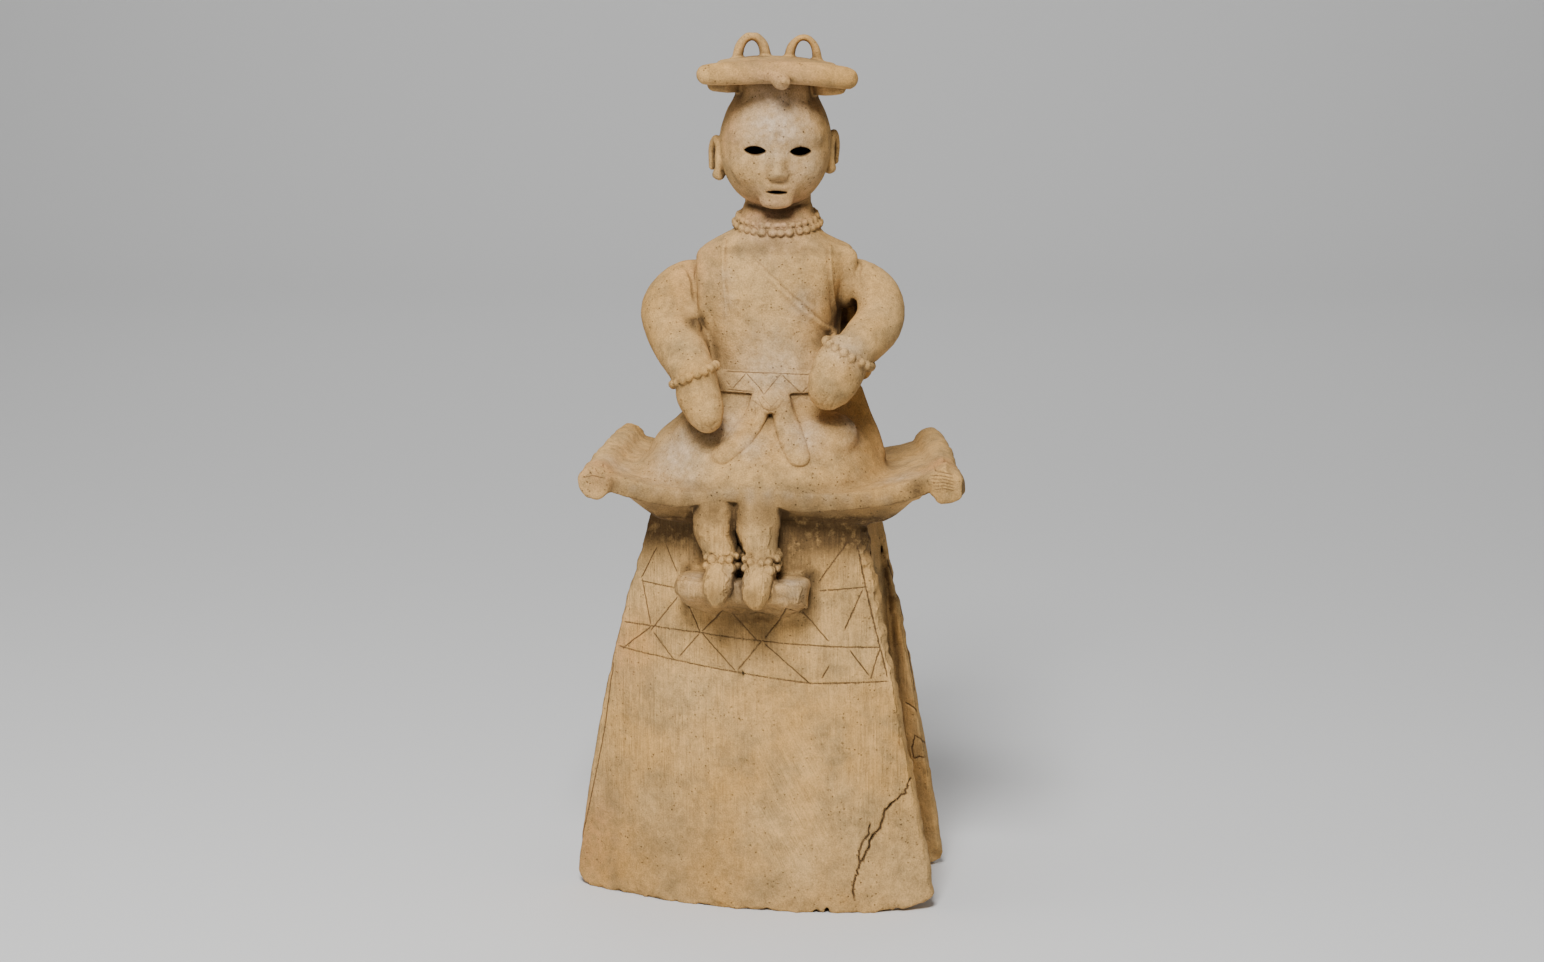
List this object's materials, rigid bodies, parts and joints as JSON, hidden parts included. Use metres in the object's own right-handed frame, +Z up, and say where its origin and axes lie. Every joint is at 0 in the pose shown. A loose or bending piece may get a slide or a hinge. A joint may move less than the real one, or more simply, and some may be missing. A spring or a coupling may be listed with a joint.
{
  "type": "haniwa figure",
  "caption": "Hollow fired-clay seated figure with a flat hairstyle, on a dished seat with rolled ends and a tall flaring pedestal, made in one piece.",
  "frame": {"origin": "centre of the bounding box at the bottom rim of the pedestal", "axes": "+Z up, -Y towards the front that the feet point to, +X to the figure's left"},
  "size_m": [0.3194, 0.2422, 0.685],
  "materials": {
    "clay": "matt fired clay"
  },
  "bodies": {
    "root": {"haniwa_figure": "clay"}
  },
  "joints": []
}
